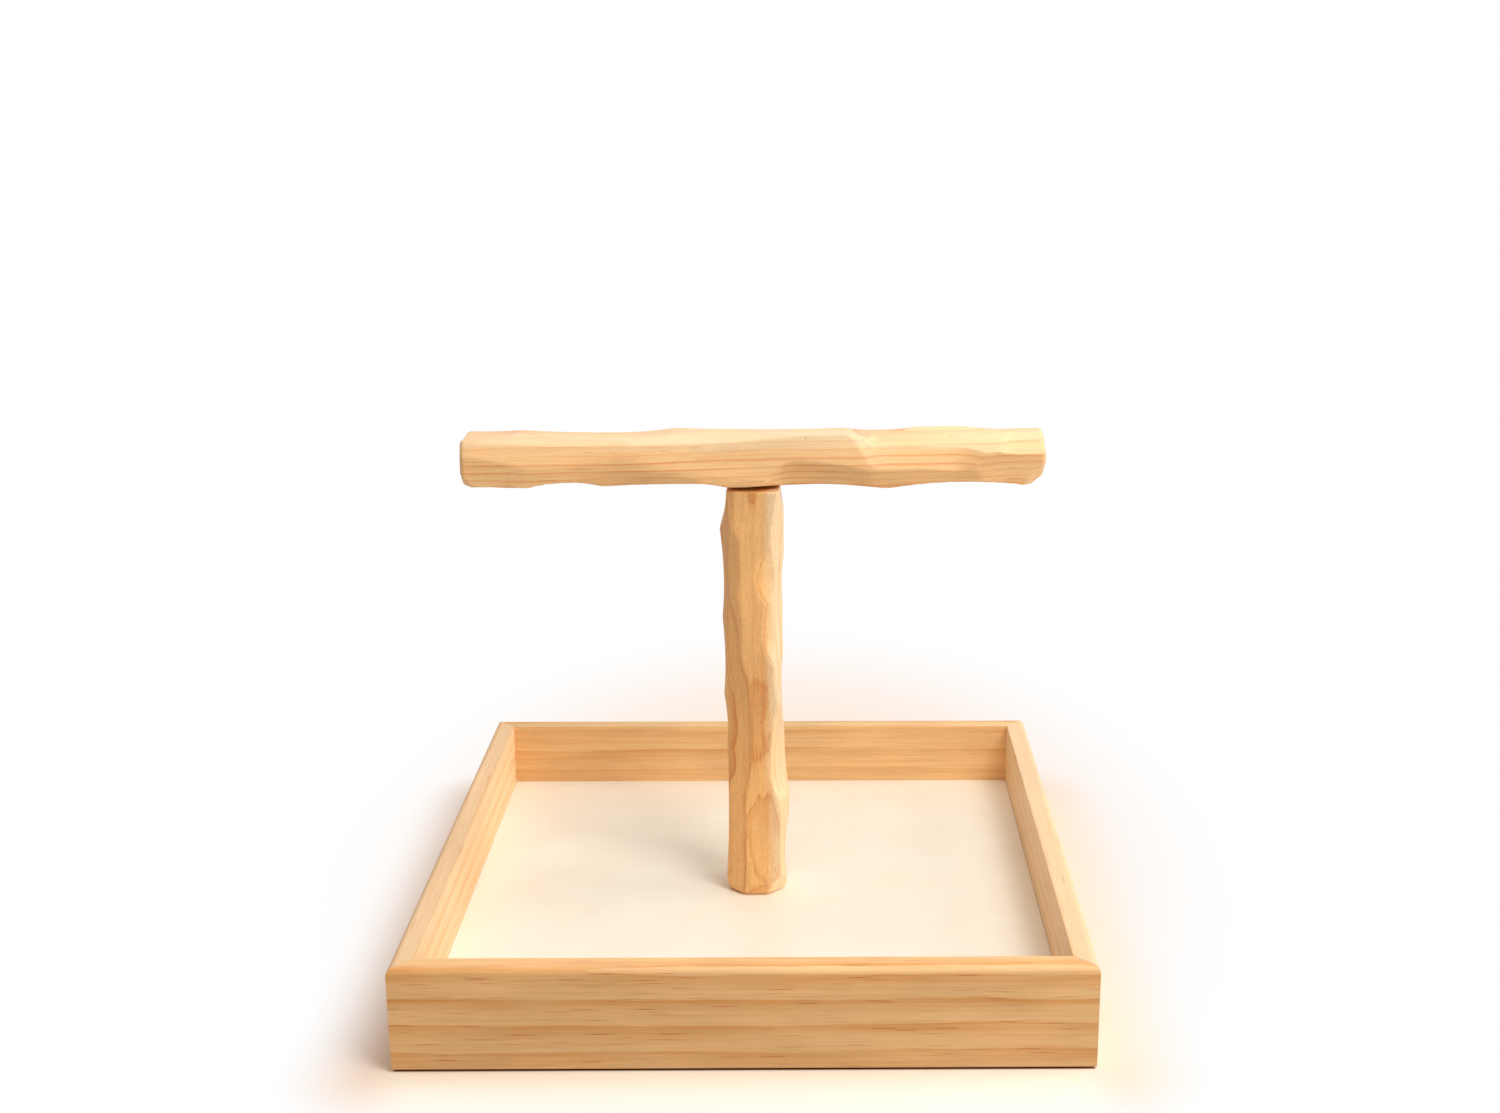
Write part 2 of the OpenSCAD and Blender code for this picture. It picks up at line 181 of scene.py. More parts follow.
# The crossbar's sides: 0 is rear, 90 top, 180 front and 270 underneath.
BAR_STROKES = [
    (0, 0.50, 1.03, 30, 30),
    (0, 0.10, 0.98, 1.2, 1.2),
    (0, 0.36, 0.95, 1.4, 1.4),
    (0, 0.66, 0.97, 1.3, 1.3),
    (0, 0.93, 0.93, 1.1, 1.1),
    (45, 0.20, 0.99, 1.5, 1.5),
    (45, 0.52, 1.03, 2, 2),
    (45, 0.84, 1.08, 1.4, 1.4),
    (90, 0.50, 1.22, 30, 30),
    (90, -0.01, 0.80, 1, 1),
    (90, 0.272, 0.829, 3.43, 0.56),
    (90, 0.495, 0.966, 10, 10),
    (90, 0.7035, 0.874, 0.163, 0.35),
    (90, 0.936, 0.937, 0.40, 4),
    (115, 0.715, 0.81, 0.025, 12),
    (120, 0.95, 0.79, 0.08, 3),
    (125, 0.40, 1.05, 2, 2),
    (130, 0.12, 0.99, 3, 2),
    (157, 0.745, 0.85, 0.28, 0.8),
    (158, 0.05, 0.95, 3, 3),
    (163, 0.84, 0.89, 1, 0.12),
    (166, 0.55, 0.945, 4, 6),
    (178, 0, 0.948, 1, 0.78),
    (180, 0.30, 1.12, 30, 30),
    (190, 0.95, 0.92, 0.3, 3),
    (199, 0.80, 1.03, 1.5, 1.5),
    (203, 0.28, 1.125, 0.6, 1.1),
    (203, 0.57, 0.86, 0.06, 0.70),
    (225, -0.03, 0.80, 1, 0.05),
    (225, 1.03, 0.50, 0.07, 1),
    (257, 0.40, 0.95, 3, 0.22),
    (257, 0.48, 1.08, 5, 5),
    (257, 0.62, 0.965, 1.6, 0.5),
    (270, 0.50, 1.05, 30, 30),
    (270, 0.05, 0.87, 4, 4),
    (270, -0.03, 0.70, 1, 0.065),
    (270, 0.184, 0.685, 0.255, 0.19),
    (270, 0.355, 0.79, 1.18, 0.67),
    (270, 0.6175, 0.85, 0.335, 1.1),
    (270, 0.872, 0.715, 0.80, 0.63),
    (270, 1.03, 0.38, 0.055, 1),
    (315, 0.18, 0.97, 1.4, 1.4),
    (315, 0.50, 1.04, 1.8, 1.8),
    (315, 0.82, 0.95, 1.3, 1.3),
]

# Sharpness of the ridges between strokes
RIDGE = 120

# The photograph's viewpoint; the angles are in degrees
CAMERA_PLACE = (0.0378, -1.1758, 0.5740)
CAMERA_PITCH, CAMERA_YAW, CAMERA_ROLL = 15.33, 0.60, -0.06
CAMERA_LENS, CAMERA_SENSOR = 45.36, 36
CAMERA_SHIFT = -0.0525

# Azimuth and height in degrees, distance and size in metres, and power in watts.
# Azimuth 0 is on the right and -90 in front.
LAMPS = {
    "front_lamp": (-48, 50, 1.7, 0.7, 13),
    "side_lamp": (0, 20, 4.0, 2.2, 56),
    "top_lamp": (0, 84, 3.0, 2.0, 25.5),
}
LAMP_TONE = (0.98, 0.98, 0.96)
ROOM_TONE = (1.0, 0.83, 0.71, 1)
ROOM_STRENGTH = 0.38
WHITE = (1, 1, 1, 1)

# The paper on the floor is painted with shade, darker and warmer, in an oval patch that reaches
# furthest to the rear. It keeps the tray's shadow up to SHADOW_REACH from the tray.
FLOOR_REACH = 6.0
PATCH_MIDDLE = (0.015, 0.14, 0)
PATCH_RADII = (0.31, 0.47, 1)
PATCH_FADE = (0.40, 1.12)
SHADOW_REACH = 0.070


def set_camera():
    """The photograph's viewpoint: in front of the tray, looking 15 degrees down."""
    data = bpy.data.cameras.new("camera")
    data.sensor_width = CAMERA_SENSOR
    data.lens = CAMERA_LENS
    data.shift_x = CAMERA_SHIFT
    camera = bpy.data.objects.new("camera", data)
    camera.location = CAMERA_PLACE
    pitch, yaw, roll = (math.radians(a) for a in (CAMERA_PITCH, CAMERA_YAW, CAMERA_ROLL))
    turn = Euler((0, 0, -yaw)).to_matrix() @ Euler((math.pi / 2 - pitch, 0, 0)).to_matrix()
    camera.rotation_euler = (turn @ Euler((0, 0, -roll)).to_matrix()).to_euler()
    bpy.context.scene.collection.objects.link(camera)
    bpy.context.scene.camera = camera


def colour(red, green, blue):
    """A screen colour (0 to 255) as the linear one that a shader takes."""
    linear = [c / 12.92 if c <= 0.04045 else ((c + 0.055) / 1.055) ** 2.4
              for c in (red / 255, green / 255, blue / 255)]
    return (*linear, 1.0)


# Early and late wood of each piece: the pale and the amber part of its rings
FRONT_PALE, FRONT_AMBER = colour(243, 198, 142), colour(222, 158, 88)
RIGHT_PALE, RIGHT_AMBER = colour(243, 211, 168), colour(234, 188, 134)
REAR_PALE, REAR_AMBER = colour(245, 203, 146), colour(216, 150, 80)
LEFT_PALE, LEFT_AMBER = colour(248, 215, 172), colour(239, 186, 129)
POST_PALE, POST_AMBER = colour(246, 195, 128), colour(218, 143, 75)
BAR_PALE, BAR_AMBER = colour(250, 206, 148), colour(230, 156, 94)
# Pale sapwood, which also serves as painted light on the lit sides of the post and crossbar
SAPWOOD_AND_PAINTED_LIGHT = colour(250, 219, 174)
RESIN = colour(176, 74, 26)
SPECK = colour(96, 60, 38)
END_GRAIN = colour(190, 128, 72)

FACING_WHITE, FACING_CREAM = colour(252, 247, 233), colour(250, 243, 227)
CHIP_PALE, CHIP_DARK = colour(196, 160, 112), colour(150, 112, 70)
DUST = colour(120, 104, 84)
STEEL_BRIGHT, STEEL_DULL = colour(196, 198, 202), colour(160, 162, 166)
BRASS_BRIGHT, BRASS_DULL = colour(214, 176, 96), colour(180, 140, 72)
RUBBER_DARK, RUBBER_PALE = colour(50, 48, 46), colour(72, 69, 66)

# The paper close to the tray, in front of it and elsewhere, where it is painted darker and warmer
# as painted shade, and the same for the paper further out, which glows by itself. LIT_PAPER is what
# lights the perch from below.
PAPER_FRONT, PAPER_PAINTED_SHADE = colour(255, 250, 235), colour(247, 226, 208)
GLOW_FRONT, GLOW_PAINTED_SHADE = colour(255, 249, 238), colour(254, 236, 222)
LIT_PAPER = colour(205, 200, 192)
# Painted shade: the dark brown of the paper in the gap under the rails
PAINTED_SHADE_UNDER_RAIL = colour(150, 92, 56)


class Nodes:
    """The node tree of a new material or world, and the few calls that it needs."""

    def __init__(self, holder):
        self.holder = holder
        holder.use_nodes = True
        self.tree = holder.node_tree
        self.tree.nodes.clear()

    def node(self, kind, inputs=None, **settings):
        """A node; inputs maps a socket's name or number to a value or to another socket."""
        made = self.tree.nodes.new("ShaderNode" + kind)
        for name, value in settings.items():
            setattr(made, name, value)
        for name, value in (inputs or {}).items():
            if isinstance(value, bpy.types.NodeSocket):
                self.tree.links.new(value, made.inputs[name])
            else:
                made.inputs[name].default_value = value
        return made

    def math(self, operation, first, second=0.0, third=0.0, clamp=False):
        made = self.node("Math", {0: first, 1: second, 2: third}, operation=operation)
        made.use_clamp = clamp
        return made.outputs[0]

    def vector(self, operation, first, second=(0, 0, 0), scale=1.0):
        made = self.node("VectorMath", {0: first, 1: second, 3: scale}, operation=operation)
        return made.outputs["Value" if operation == "LENGTH" else "Vector"]

    def axis(self, vector, name):
        return self.node("SeparateXYZ", {0: vector}).outputs[name]

    def mapping(self, vector, location=(0, 0, 0), turn=(0, 0, 0), scale=(1, 1, 1)):
        """The vector scaled, turned (in degrees) and moved."""
        turn = tuple(math.radians(a) for a in turn)
        inputs = {"Vector": vector, "Location": location, "Rotation": turn, "Scale": scale}
        return self.node("Mapping", inputs).outputs[0]

    def noise(self, vector, across, along=None, detail=2.0, roughness=0.5, output="Fac"):
        """Noise with lumps of a size across and along the third axis, in mm."""
        scale = (1 / across, 1 / across, 1 / (along or across))
        inputs = {"Vector": self.mapping(vector, scale=scale), "Scale": 1.0,
                  "Detail": detail, "Roughness": roughness}
        return self.node("TexNoise", inputs).outputs[output]

    def cells(self, vector, across, along=None):
        """(distance from the nearest cell's middle, the cell's own number from 0 to 1)."""
        scale = (1 / across, 1 / across, 1 / (along or across))
        inputs = {"Vector": self.mapping(vector, scale=scale), "Scale": 1.0}
        cell = self.node("TexVoronoi", inputs)
        number = self.node("SeparateColor", {0: cell.outputs["Color"]}).outputs[0]
        return cell.outputs["Distance"], number

    def ramp(self, value, stops):
        """A grey ramp: stops are (place, brightness)."""
        made = self.node("ValToRGB", {0: value})
        elements = made.color_ramp.elements
        elements[0].position, elements[1].position = stops[0][0], stops[-1][0]
        for place, _ in stops[1:-1]:
            elements.new(place)
        for element, (_, level) in zip(elements, stops):
            element.color = (level, level, level, 1)
        return made.outputs["Color"]

    def mix(self, factor, first, second):
        """The first colour where factor is 0, the second where it is 1."""
        made = self.node("Mix", {"Factor": factor, 6: first, 7: second}, data_type="RGBA")
        return made.outputs[2]

    def spread(self, value, low, high, to_low=0.0, to_high=1.0):
        """value from low..high to to_low..to_high, smoothly, and held at the ends."""
        inputs = {"Value": value, "From Min": low, "From Max": high,
                  "To Min": to_low, "To Max": to_high}
        return self.node("MapRange", inputs, interpolation_type="SMOOTHSTEP").outputs["Result"]

    def swing(self, noise, to_low, to_high):
        """A noise, which lies mostly between 0.3 and 0.7, spread over to_low..to_high."""
        return self.spread(noise, 0.3, 0.7, to_low, to_high)

    def bump(self, height, strength, distance):
        inputs = {"Height": height, "Strength": strength, "Distance": distance}
        return self.node("Bump", inputs).outputs[0]

    def seen(self):
        """1 for what the camera sees, straight or in metal and glass, and 0 for plain light."""
        path = self.node("LightPath").outputs
        mirrored = self.math("MAXIMUM", path["Is Glossy Ray"], path["Is Transmission Ray"])
        return self.math("MAXIMUM", path["Is Camera Ray"], mirrored)

    def surface(self, **inputs):
        """The finished material: inputs name the surface's sockets, with _ for a space."""
        sockets = {name.replace("_", " "): value for name, value in inputs.items()}
        shader = self.node("BsdfPrincipled", sockets)
        self.node("OutputMaterial", {"Surface": shader.outputs[0]})
        return self.holder


def new_material(name):
    return Nodes(bpy.data.materials.new(name))


def in_millimetres(s):
    """The place in the piece's own frame, so that a pattern moves with its piece."""
    return s.vector("SCALE", s.node("TexCoord").outputs["Object"], scale=1 / MM)


# The order of a wood's axes: two across the grain, then the one along it
GRAIN_ALONG = {"x": ("Y", "Z", "X"), "y": ("X", "Z", "Y"), "z": ("X", "Y", "Z")}

# Sizes of a wood's patterns across and along the grain, in mm
LONG_WANDER, SHORT_CURL = (70, 210), (14, 34)
RING_WAVER, RING_PATCH = (7, 45), (16, 90)
STREAK, THREAD, FIBRE = (2.2, 130), (0.9, 60), (0.55, 14)
SLOW_DRIFT, TORN_GRAIN, PALE_EDGE = (30, 75), (0.8, 2.4), (9, 60)
CANAL_CELL, SPECK_CELL = (1.3, 56), (9, 9)

# How far the edge of the sapwood, which also carries painted light, wavers, and where the
# painted-light slope of the tone ends, in mm
PALE_WAVER = 6
PAINTED_LIGHT_SLOPE_END = 200


def strayed(s, place, size, reach):
    """A drift across the grain, up to reach either way, that changes over a size."""
    drift = s.noise(place, *size, detail=1.5, output="Color")
    drift = s.vector("SUBTRACT", drift, (0.5, 0.5, 0.5))
    return s.vector("MULTIPLY", drift, (2 * reach, 2 * reach, 0))


def late_wood(s, place, ring, start, wave, ripple, band, seed):
    """Share of late wood in the growth rings round the pith, from 0 to 1."""
    # The rings wander slowly along the grain, with a finer ripple on top
    across = s.vector("ADD", place, strayed(s, place, LONG_WANDER, wave))
    across = s.vector("MULTIPLY", across, (1, 1, 0))
    if ripple:
        across = s.vector("ADD", across, strayed(s, place, SHORT_CURL, ripple))
    rings = s.math("MULTIPLY_ADD", s.vector("LENGTH", across), 1 / ring, start)
    rings = s.math("MULTIPLY_ADD", s.noise(place, *RING_WAVER), 0.16, rings)

    # Each ring darkens slowly over its band, and ends at once
    share = s.ramp(s.math("FRACT", rings), [
        (0.0, 0.60), (0.03, 0.12), (0.10, 0.0), (1 - band, 0.10), (1 - band * 0.55, 0.46),
        (1 - band * 0.22, 0.78), (0.965, 1.0)])

    # Some rings are darker than others, and none is even along the grain
    number = s.math("ADD", s.math("FLOOR", rings), seed)
    fate = s.node("TexWhiteNoise", {"W": number}, noise_dimensions="1D").outputs["Value"]
    share = s.math("MULTIPLY", share, s.spread(fate, 0.0, 1.0, 0.50, 1.0))
    patch = s.spread(s.noise(place, *RING_PATCH), 0.35, 0.65, 0.6, 1.1)
    return s.math("MULTIPLY", share, patch)


def marks(s, place, cell, core, rim, strength, share, fade):
    """Small marks in a share of the cells, full up to core from a cell's middle and none at rim."""
    distance, number = s.cells(place, *cell)
    some = s.spread(number, 1 - share, 1 - share * fade)
    return s.math("MULTIPLY", s.spread(distance, core, rim, strength, 0.0), some)


def paling(s, place, first, second, sap_and_light):
    """Share of sapwood, with painted light on the lit side; sap_and_light is (side in degrees,
    where it starts and ends).
    """
    side, starts, ends = math.radians(sap_and_light[0]), sap_and_light[1], sap_and_light[2]
    outwards = s.math("MULTIPLY", first, math.cos(side))
    outwards = s.math("MULTIPLY_ADD", second, math.sin(side), outwards)
    outwards = s.math("MULTIPLY_ADD", s.noise(place, *PALE_EDGE), PALE_WAVER, outwards)
    # The noise lies round 0.5, so it moves the edge out by half of its waver
    return s.spread(outwards, starts + PALE_WAVER / 2, ends + PALE_WAVER / 2)


def wood(name, grain, pith, ring, early, late, start=0.0, tilt=(0, 0), wave=3.0, ripple=0.0,
         band=0.45, dashes=0.5, specks=0.0, drift=0.06, painted_light_slope=0.0, fuzz=0.0, sap_and_light=None,
         gloss=0.35, seed=0.0):
    """Softwood with growth rings round a pith line, all through the solid wood.

    grain is the axis that it runs along, pith the pith's place across it, ring
    the rings' spacing, and wave and ripple how far they wander over long and
    short stretches, in mm. start shifts the rings by a share of their spacing,
    tilt turns the grain off the axis, in degrees, and band is the share of a
    ring that darkens. dashes and specks are the shares of the cells that hold a
    resin canal or a dark speck. drift and fuzz are how far the tone swings over
    long and very short stretches, and painted_light_slope is how much painted
    light pales it towards the piece's far end. sap_and_light holds the side (in
    degrees) on which the wood pales, as sapwood and as painted light on the lit
    side, and where across that starts and ends.
    """
    s = new_material(name)
    axes = s.node("SeparateXYZ", {0: in_millimetres(s)}).outputs
    first, second, along = (axes[axis] for axis in GRAIN_ALONG[grain])
    turned_place = s.node("CombineXYZ", {0: first, 1: second, 2: along}).outputs[0]
    from_pith = s.vector("SUBTRACT", turned_place, (*pith, 0))
    place = s.mapping(from_pith, location=(0, 0, seed), turn=(*tilt, 0))

    # Long streaks and fine threads darken the wood as late wood does
    late_share = late_wood(s, place, ring, start, wave, ripple, band, seed)
    streak = s.spread(s.noise(place, *STREAK, detail=3.0), 0.35, 0.70, -0.10, 0.20)
    thread = s.spread(s.noise(place, *THREAD), 0.45, 0.75, 0.0, 0.22)
    late_share = s.math("ADD", s.math("ADD", late_share, streak), thread, clamp=True)
    # Sapwood pales one side; there it also stands for painted light on the side that the lamps
    # light most
    if sap_and_light:
        pale_share = paling(s, place, first, second, sap_and_light)
        early = s.mix(pale_share, early, SAPWOOD_AND_PAINTED_LIGHT)
        late = s.mix(s.math("MULTIPLY", pale_share, 0.6), late, SAPWOOD_AND_PAINTED_LIGHT)
    tone = s.mix(late_share, early, late)

    # Its brightness: fine fibres, a slow drift, a painted-light slope to one end and torn grain
    fibre = s.noise(place, *FIBRE, detail=3.0, roughness=0.6)
    level = s.math("ADD", s.swing(fibre, -0.045, 0.045),
                   s.swing(s.noise(place, *SLOW_DRIFT), 1 - drift, 1 + drift))
    # Painted light: the tone pales towards one end, where more light falls
    if painted_light_slope:
        level = s.math("ADD", level, s.spread(along, -PAINTED_LIGHT_SLOPE_END, PAINTED_LIGHT_SLOPE_END, -painted_light_slope, painted_light_slope))
    if fuzz:
        torn = s.noise(place, *TORN_GRAIN, detail=3.0, roughness=0.7)
        level = s.math("ADD", level, s.swing(torn, -fuzz, fuzz))
    tone = s.vector("SCALE", tone, scale=level)

    # Resin canals: short thin dashes along the grain, most of them in the late wood
    canals = marks(s, place, CANAL_CELL, 0.09, 0.20, 1.0, dashes, 0.8)
    canals = s.math("MULTIPLY", canals, s.spread(late_share, 0.0, 0.5, 0.45, 0.85))
    tone = s.mix(canals, tone, RESIN)
    if specks:
        tone = s.mix(marks(s, place, SPECK_CELL, 0.03, 0.06, 0.75, specks, 0.9), tone, SPECK)

    # End grain is darker, with the rings still showing
    facing = s.axis(s.node("TexCoord").outputs["Normal"], GRAIN_ALONG[grain][2])
    end = s.spread(s.math("ABSOLUTE", facing), 0.80, 0.97, 0.0, 0.33)
    tone = s.mix(end, tone, END_GRAIN)

    height = s.math("MULTIPLY_ADD", fibre, 0.5, s.math("MULTIPLY", late_share, 0.35))
    rough = 0.72 - 0.6 * gloss
    return s.surface(Base_Color=tone, Roughness=s.swing(fibre, rough - 0.07, rough + 0.07),
                     Specular_IOR_Level=gloss, Normal=s.bump(height, 0.25, 0.25 * MM))


# The board's facing, the dust on it and the chips of its core, in mm
FACING_THICKNESS = 0.4
FACING_CLOUD, DUST_CELL, CHIP_CELL, CORE_GRAIN = 55, 17, 1.4, 1.6
DUST_FROM, DUST_TO = -120, -188


def white_board():
    """A cream-white facing over particle board, which shows only inside the recess."""
    s = new_material("white_board")
    place = in_millimetres(s)
    middle = (BOARD_BOTTOM + BOARD_TOP) / 2 / MM
    reach = (BOARD_TOP - BOARD_BOTTOM) / 2 / MM
    from_middle = s.math("ABSOLUTE", s.math("SUBTRACT", s.axis(place, "Z"), middle))
    faced = s.math("GREATER_THAN", from_middle, reach - FACING_THICKNESS)

    cloud = s.spread(s.noise(place, FACING_CLOUD, detail=3.0), 0.35, 0.70)
    facing = s.mix(cloud, FACING_WHITE, FACING_CREAM)
    # A few grains of dust, most of them near the front rail
    distance, number = s.cells(place, DUST_CELL)
    rarity = s.spread(s.axis(place, "Y"), DUST_FROM, DUST_TO, 0.97, 0.72)
    dust = s.math("MULTIPLY", s.spread(distance, 0.018, 0.034, 0.7, 0.0),
                  s.math("GREATER_THAN", number, rarity))
    facing = s.mix(dust, facing, DUST)

    chip = s.cells(place, CHIP_CELL)[1]
    core = s.mix(chip, CHIP_PALE, CHIP_DARK)
    relief = s.mix(faced, chip, s.math("MULTIPLY", s.noise(place, CORE_GRAIN), 0.05))
    return s.surface(Base_Color=s.mix(faced, core, facing),
                     Roughness=s.spread(faced, 0, 1, 0.85, 0.43),
                     Specular_IOR_Level=0.4, Normal=s.bump(relief, 0.5, 0.3 * MM))


def metal(name, bright, dull, rough):
    """Plated or machined metal: brushed, a little dulled in patches."""
    s = new_material(name)
    place = in_millimetres(s)
    brushed = s.noise(place, 0.8, 0.1, detail=3.0)
    patches = s.spread(s.noise(place, 3.5), 0.35, 0.70)
    return s.surface(Base_Color=s.mix(patches, bright, dull), Metallic=1.0,
                     Roughness=s.swing(brushed, rough - 0.08, rough + 0.10),
                     Normal=s.bump(brushed, 0.10, 0.05 * MM))


def rubber():
    """Matt dark rubber with a fine grain."""
    s = new_material("pad_rubber")
    grain = s.noise(in_millimetres(s), 0.45, detail=3.0)
    return s.surface(Base_Color=s.mix(grain, RUBBER_DARK, RUBBER_PALE),
                     Roughness=s.swing(grain, 0.70, 0.85),
                     Normal=s.bump(grain, 0.3, 0.1 * MM))


def new_object(name, points, faces):
    mesh = bpy.data.meshes.new(name)
    mesh.from_pydata(np.asarray(points).tolist(), [], faces)
    made = bpy.data.objects.new(name, mesh)
    bpy.context.scene.collection.objects.link(made)
    return made


def finish_piece(piece, material, body, stands_for, crease=38):
    """Shades a piece smooth between its creases, and says what it is made of and rides on."""
    piece.data.shade_smooth()
    piece.data.set_sharp_from_angle(angle=math.radians(crease))
    piece.data.materials.clear()
    piece.data.materials.append(material)
    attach(piece, body)
    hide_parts(stands_for)


def skin(rings, closed=False):
    """Points and faces over rings of equal length: capped at both ends, or closed in a loop.

    The rings turn counterclockwise seen from where they are heading.
    """
    rings = np.asarray(rings)
    count, sides = rings.shape[:2]
    faces = []
    for i in range(count if closed else count - 1):
        low, high = i * sides, (i + 1) % count * sides
        faces += [(low + k, low + (k + 1) % sides, high + (k + 1) % sides, high + k)
                  for k in range(sides)]
    if not closed:
        faces.append(tuple(range(sides))[::-1])
        faces.append(tuple((count - 1) * sides + k for k in range(sides)))
    return rings.reshape(-1, 3), faces


def angles_of(sides):
    return np.arange(sides) * 360 / sides


def level_ring(middle, radius, z, sides):
    """A level ring round a middle (x, y); radius and z may differ from side to side."""
    turn = np.radians(angles_of(sides))
    return np.stack([middle[0] + radius * np.cos(turn), middle[1] + radius * np.sin(turn),
                     np.broadcast_to(z, sides)], axis=1)


def turned(name, profile, sides=ROUND_SIDES, closed=False, middle=(AXIS_X, AXIS_Y)):
    """A piece turned round a middle from (radius, z) pairs; either may be an array."""
    rings = [level_ring(middle, radius, z, sides) for radius, z in profile]
    return new_object(name, *skin(rings, closed))


def arc(centre, radius, start, end, steps):
    """Points on an arc, from angle start to end, in degrees."""
    angles = np.radians(np.linspace(start, end, steps))
    return [(centre[0] + radius * math.cos(a), centre[1] + radius * math.sin(a)) for a in angles]


def rail_section():
    """A rail's outline as (distance in from the outer face, height), counterclockwise.

    Beside each rounded edge lies one more point, which holds the flat face flat.
    """
    inner, top = RAIL_THICKNESS, RAIL_TOP - RAIL_BOTTOM
    r, foot, edge = RAIL_ROUND, RAIL_FOOT_ROUND, RAIL_EDGE
    hold = 0.4 * MM
    corners = [arc((foot, foot), foot, 180, 270, 5),
               arc((inner - edge, edge), edge, 270, 360, 5),
               arc((inner - edge, top - edge), edge, 0, 90, 5),
               arc((r, top - r), r, 90, 180, 10)]
    outline = []
    for corner, into, out in zip(corners, [(0, hold), (-hold, 0), (0, -hold), (hold, 0)],
                                 [(hold, 0), (0, hold), (-hold, 0), (0, -hold)]):
        first, last = corner[0], corner[-1]
        outline.append((first[0] + into[0], first[1] + into[1]))
        outline += corner
        outline.append((last[0] + out[0], last[1] + out[1]))
    return outline


def rail(node, turn, material, gap_low=MITRE_GAP, gap_high=MITRE_GAP):
    """One of the four rails; turn is 0 for the front one. Its ends are mitred."""
    lengthwise = turn % 180 == 0
    half = HALF_WIDTH if lengthwise else HALF_DEPTH
    out = HALF_DEPTH if lengthwise else HALF_WIDTH
    inward, height = np.array(rail_section()).T
    low, high = -(half - inward - gap_low), half - inward - gap_high
    x = np.array([low + (high - low) * share for share in np.linspace(0, 1, RAIL_RINGS)])
    y = np.broadcast_to(inward - out, x.shape)
    z = np.broadcast_to(RAIL_BOTTOM + height, x.shape)
    cos, sin = math.cos(math.radians(turn)), math.sin(math.radians(turn))
    rings = np.stack([x * cos - y * sin, x * sin + y * cos, z], axis=2)
    piece = new_object(node + "_pine", *skin(rings))
    finish_piece(piece, material, "tray", node, crease=30)


def carved_reach(strokes, angles, places, half, length):
    """Distance of the carved surface from the axis, for each place and each side."""
    total = np.zeros((len(places), len(angles)))
    for side, deepest, share, sweep_before, sweep_after in strokes:
        gap = places - deepest * length
        sweep = np.where(gap < 0, sweep_before, sweep_after) * length
        reach = share * half + gap ** 2 / (2 * sweep)
        facing = np.maximum(0, np.cos(np.radians(angles - side)))
        total += (facing[None, :] * half / reach[:, None]) ** RIDGE
    return half * total ** (-1 / RIDGE)


def end_draw(distance, ease):
    """How much a rounded end draws the surface in, at a distance from that end."""
    inside = np.clip(ease - distance, 0, ease)
    return ease - np.sqrt(ease ** 2 - inside ** 2)


def ring_places(length, ease_low, ease_high):
    """Places along a stick: close together in the rounded ends, even between them."""
    bend = 1 - np.cos(np.linspace(0, math.pi / 2, EASE_RINGS))[:-1]
    return np.concatenate([ease_low * bend,
                           np.linspace(ease_low, length - ease_high, STICK_RINGS),
                           length - ease_high * bend[::-1]])


def carved_radii(strokes, stock, length, ease_low, ease_high):
    """(places along a carved stick, its radii there on each of STICK_SIDES sides)."""
    places = ring_places(length, ease_low, ease_high)
    radii = carved_reach(strokes, angles_of(STICK_SIDES), places, stock / 2, length)
    draw = np.maximum(end_draw(places, ease_low), end_draw(length - places, ease_high))
    return places, radii - draw[:, None]


def post(material):
    """The carved post, with its hollow foot and the hole for the hanger bolt."""
    places, radii = carved_radii(POST_STROKES, POST_STOCK, POST_LENGTH, POST_FOOT_EASE,
                                 POST_TOP_EASE)
    insert_top = insert_high.z - BOARD_TOP
    bolt_end = bolt_high.z - BOARD_TOP + HOLE_SPARE
    bolt_hole, insert_hole = BOLT_RADIUS + THREAD_GAP, INSERT_RADIUS + THREAD_GAP
    hollow = [(bolt_hole, bolt_end), (bolt_hole, insert_top), (insert_hole, insert_top),
              (insert_hole, FOOT_RECESS_DEPTH), (FOOT_RECESS_RADIUS, FOOT_RECESS_DEPTH),
              (FOOT_RECESS_RADIUS, FOOT_RECESS_EASE), (FOOT_RECESS_RADIUS + FOOT_RECESS_EASE, 0)]
    hanger_hole = BOLT_RADIUS + HOLE_GAP
    well = [(hanger_hole, POST_LENGTH), (hanger_hole, hanger_low.z - BOARD_TOP)]
    profile = hollow + list(zip(radii, places)) + well
    piece = turned("carved_post", [(radius, BOARD_TOP + z) for radius, z in profile], STICK_SIDES)
    finish_piece(piece, material, "post", "post")


def cut(piece, cutter):
    """Takes the cutter's solid out of the piece, and the cutter out of the scene."""
    modifier = piece.modifiers.new("cut", "BOOLEAN")
    modifier.operation = "DIFFERENCE"
    modifier.solver = "EXACT"
    modifier.object = cutter
    evaluated = piece.evaluated_get(bpy.context.evaluated_depsgraph_get())
    mesh = bpy.data.meshes.new_from_object(evaluated)
    piece.modifiers.clear()
    piece.data = mesh
    bpy.data.objects.remove(cutter)


